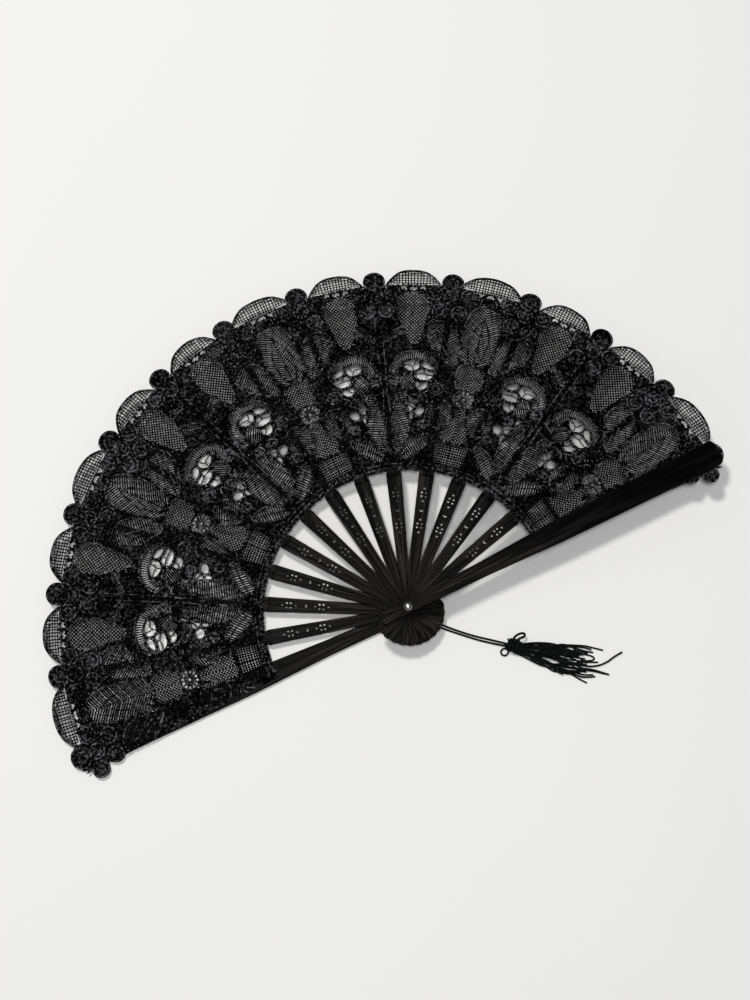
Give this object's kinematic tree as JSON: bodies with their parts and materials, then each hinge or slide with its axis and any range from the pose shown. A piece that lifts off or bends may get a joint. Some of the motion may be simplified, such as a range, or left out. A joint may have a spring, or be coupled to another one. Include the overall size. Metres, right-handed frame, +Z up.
{
  "type": "hand fan",
  "caption": "Open folding hand fan: black lacquered pierced ribs between two wide guards, a scalloped tape-lace leaf, a domed rivet and a corded tassel.",
  "frame": {"origin": "on the pivot rivet's axis, at the flush underside of the rear guard, which lies on the table", "axes": "+Z up along the rivet; +Y along the open fan's middle line, away from the pivot; +X towards the front guard"},
  "size_m": [0.424, 0.2967, 0.021],
  "materials": {
    "lacquered_wood": "black lacquer, satin, brown where the edges are worn",
    "lace": "black rayon and cotton tape lace, matte with silky tapes",
    "rivet_metal": "bright nickel-plated",
    "rivet_washer": "blackened",
    "tassel_thread": "black twisted rayon cord, soft sheen"
  },
  "bodies": {
    "rear_guard": {"rear_guard": "lacquered_wood", "leaf_face_00": "lace", "rivet_pin": "rivet_metal", "rivet_washer": "rivet_washer", "rivet_collar": "rivet_metal", "tassel_hitch": "tassel_thread", "tassel_cord_a": "tassel_thread", "tassel_cord_b": "tassel_thread", "tassel_knot": "tassel_thread", "tassel_ear_loop": "tassel_thread", "tassel_eye_loop": "tassel_thread", "tassel_skirt": "tassel_thread"},
    "rib_01": {"rib_01": "lacquered_wood", "leaf_face_01": "lace"},
    "rib_02": {"rib_02": "lacquered_wood", "leaf_face_02": "lace"},
    "rib_03": {"rib_03": "lacquered_wood", "leaf_face_03": "lace"},
    "rib_04": {"rib_04": "lacquered_wood", "leaf_face_04": "lace"},
    "rib_05": {"rib_05": "lacquered_wood", "leaf_face_05": "lace"},
    "rib_06": {"rib_06": "lacquered_wood", "leaf_face_06": "lace"},
    "rib_07": {"rib_07": "lacquered_wood", "leaf_face_07": "lace"},
    "rib_08": {"rib_08": "lacquered_wood", "leaf_face_08": "lace"},
    "rib_09": {"rib_09": "lacquered_wood", "leaf_face_09": "lace"},
    "rib_10": {"rib_10": "lacquered_wood", "leaf_face_10": "lace"},
    "rib_11": {"rib_11": "lacquered_wood", "leaf_face_11": "lace"},
    "rib_12": {"rib_12": "lacquered_wood", "leaf_face_12": "lace"},
    "front_guard": {"front_guard": "lacquered_wood", "leaf_face_13": "lace"},
    "leaf_web_00": {"leaf_web_00": "lace"},
    "leaf_web_01": {"leaf_web_01": "lace"},
    "leaf_web_02": {"leaf_web_02": "lace"},
    "leaf_web_03": {"leaf_web_03": "lace"},
    "leaf_web_04": {"leaf_web_04": "lace"},
    "leaf_web_05": {"leaf_web_05": "lace"},
    "leaf_web_06": {"leaf_web_06": "lace"},
    "leaf_web_07": {"leaf_web_07": "lace"},
    "leaf_web_08": {"leaf_web_08": "lace"},
    "leaf_web_09": {"leaf_web_09": "lace"},
    "leaf_web_10": {"leaf_web_10": "lace"},
    "leaf_web_11": {"leaf_web_11": "lace"},
    "leaf_web_12": {"leaf_web_12": "lace"}
  },
  "joints": [
    {"name": "fan_fold", "type": "hinge", "parent": "rear_guard", "child": "rib_01", "pos_m": [0, 0, 0], "axis": [0, 0, 1], "range_deg": [0, 13.65]},
    {"name": "rib_02_turn", "type": "hinge", "parent": "rib_01", "child": "rib_02", "pos_m": [0, 0, 0], "axis": [0, 0, 1], "range_deg": [0, 13.65]},
    {"name": "rib_03_turn", "type": "hinge", "parent": "rib_02", "child": "rib_03", "pos_m": [0, 0, 0], "axis": [0, 0, 1], "range_deg": [0, 13.65]},
    {"name": "rib_04_turn", "type": "hinge", "parent": "rib_03", "child": "rib_04", "pos_m": [0, 0, 0], "axis": [0, 0, 1], "range_deg": [0, 13.65]},
    {"name": "rib_05_turn", "type": "hinge", "parent": "rib_04", "child": "rib_05", "pos_m": [0, 0, 0], "axis": [0, 0, 1], "range_deg": [0, 13.65]},
    {"name": "rib_06_turn", "type": "hinge", "parent": "rib_05", "child": "rib_06", "pos_m": [0, 0, 0], "axis": [0, 0, 1], "range_deg": [0, 13.65]},
    {"name": "rib_07_turn", "type": "hinge", "parent": "rib_06", "child": "rib_07", "pos_m": [0, 0, 0], "axis": [0, 0, 1], "range_deg": [0, 13.65]},
    {"name": "rib_08_turn", "type": "hinge", "parent": "rib_07", "child": "rib_08", "pos_m": [0, 0, 0], "axis": [0, 0, 1], "range_deg": [0, 13.65]},
    {"name": "rib_09_turn", "type": "hinge", "parent": "rib_08", "child": "rib_09", "pos_m": [0, 0, 0], "axis": [0, 0, 1], "range_deg": [0, 13.65]},
    {"name": "rib_10_turn", "type": "hinge", "parent": "rib_09", "child": "rib_10", "pos_m": [0, 0, 0], "axis": [0, 0, 1], "range_deg": [0, 13.65]},
    {"name": "rib_11_turn", "type": "hinge", "parent": "rib_10", "child": "rib_11", "pos_m": [0, 0, 0], "axis": [0, 0, 1], "range_deg": [0, 13.65]},
    {"name": "rib_12_turn", "type": "hinge", "parent": "rib_11", "child": "rib_12", "pos_m": [0, 0, 0], "axis": [0, 0, 1], "range_deg": [0, 13.65]},
    {"name": "front_guard_turn", "type": "hinge", "parent": "rib_12", "child": "front_guard", "pos_m": [0, 0, 0], "axis": [0, 0, 1], "range_deg": [0, 13.65]},
    {"name": "leaf_web_00_fold", "type": "hinge", "parent": "rear_guard", "child": "leaf_web_00", "pos_m": [0, 0, 0], "axis": [0, 0, 1], "range_deg": [0, 6.83]},
    {"name": "leaf_web_01_fold", "type": "hinge", "parent": "rib_01", "child": "leaf_web_01", "pos_m": [0, 0, 0], "axis": [0, 0, 1], "range_deg": [0, 6.83]},
    {"name": "leaf_web_02_fold", "type": "hinge", "parent": "rib_02", "child": "leaf_web_02", "pos_m": [0, 0, 0], "axis": [0, 0, 1], "range_deg": [0, 6.83]},
    {"name": "leaf_web_03_fold", "type": "hinge", "parent": "rib_03", "child": "leaf_web_03", "pos_m": [0, 0, 0], "axis": [0, 0, 1], "range_deg": [0, 6.83]},
    {"name": "leaf_web_04_fold", "type": "hinge", "parent": "rib_04", "child": "leaf_web_04", "pos_m": [0, 0, 0], "axis": [0, 0, 1], "range_deg": [0, 6.83]},
    {"name": "leaf_web_05_fold", "type": "hinge", "parent": "rib_05", "child": "leaf_web_05", "pos_m": [0, 0, 0], "axis": [0, 0, 1], "range_deg": [0, 6.83]},
    {"name": "leaf_web_06_fold", "type": "hinge", "parent": "rib_06", "child": "leaf_web_06", "pos_m": [0, 0, 0], "axis": [0, 0, 1], "range_deg": [0, 6.83]},
    {"name": "leaf_web_07_fold", "type": "hinge", "parent": "rib_07", "child": "leaf_web_07", "pos_m": [0, 0, 0], "axis": [0, 0, 1], "range_deg": [0, 6.83]},
    {"name": "leaf_web_08_fold", "type": "hinge", "parent": "rib_08", "child": "leaf_web_08", "pos_m": [0, 0, 0], "axis": [0, 0, 1], "range_deg": [0, 6.83]},
    {"name": "leaf_web_09_fold", "type": "hinge", "parent": "rib_09", "child": "leaf_web_09", "pos_m": [0, 0, 0], "axis": [0, 0, 1], "range_deg": [0, 6.83]},
    {"name": "leaf_web_10_fold", "type": "hinge", "parent": "rib_10", "child": "leaf_web_10", "pos_m": [0, 0, 0], "axis": [0, 0, 1], "range_deg": [0, 6.83]},
    {"name": "leaf_web_11_fold", "type": "hinge", "parent": "rib_11", "child": "leaf_web_11", "pos_m": [0, 0, 0], "axis": [0, 0, 1], "range_deg": [0, 6.83]},
    {"name": "leaf_web_12_fold", "type": "hinge", "parent": "rib_12", "child": "leaf_web_12", "pos_m": [0, 0, 0], "axis": [0, 0, 1], "range_deg": [0, 6.83]}
  ],
  "couplings": [
    {"joint": "rib_02_turn", "follows": "fan_fold", "ratio": 1},
    {"joint": "rib_03_turn", "follows": "fan_fold", "ratio": 1},
    {"joint": "rib_04_turn", "follows": "fan_fold", "ratio": 1},
    {"joint": "rib_05_turn", "follows": "fan_fold", "ratio": 1},
    {"joint": "rib_06_turn", "follows": "fan_fold", "ratio": 1},
    {"joint": "rib_07_turn", "follows": "fan_fold", "ratio": 1},
    {"joint": "rib_08_turn", "follows": "fan_fold", "ratio": 1},
    {"joint": "rib_09_turn", "follows": "fan_fold", "ratio": 1},
    {"joint": "rib_10_turn", "follows": "fan_fold", "ratio": 1},
    {"joint": "rib_11_turn", "follows": "fan_fold", "ratio": 1},
    {"joint": "rib_12_turn", "follows": "fan_fold", "ratio": 1},
    {"joint": "front_guard_turn", "follows": "fan_fold", "ratio": 1},
    {"joint": "leaf_web_00_fold", "follows": "fan_fold", "ratio": 0.5},
    {"joint": "leaf_web_01_fold", "follows": "fan_fold", "ratio": 0.5},
    {"joint": "leaf_web_02_fold", "follows": "fan_fold", "ratio": 0.5},
    {"joint": "leaf_web_03_fold", "follows": "fan_fold", "ratio": 0.5},
    {"joint": "leaf_web_04_fold", "follows": "fan_fold", "ratio": 0.5},
    {"joint": "leaf_web_05_fold", "follows": "fan_fold", "ratio": 0.5},
    {"joint": "leaf_web_06_fold", "follows": "fan_fold", "ratio": 0.5},
    {"joint": "leaf_web_07_fold", "follows": "fan_fold", "ratio": 0.5},
    {"joint": "leaf_web_08_fold", "follows": "fan_fold", "ratio": 0.5},
    {"joint": "leaf_web_09_fold", "follows": "fan_fold", "ratio": 0.5},
    {"joint": "leaf_web_10_fold", "follows": "fan_fold", "ratio": 0.5},
    {"joint": "leaf_web_11_fold", "follows": "fan_fold", "ratio": 0.5},
    {"joint": "leaf_web_12_fold", "follows": "fan_fold", "ratio": 0.5}
  ]
}
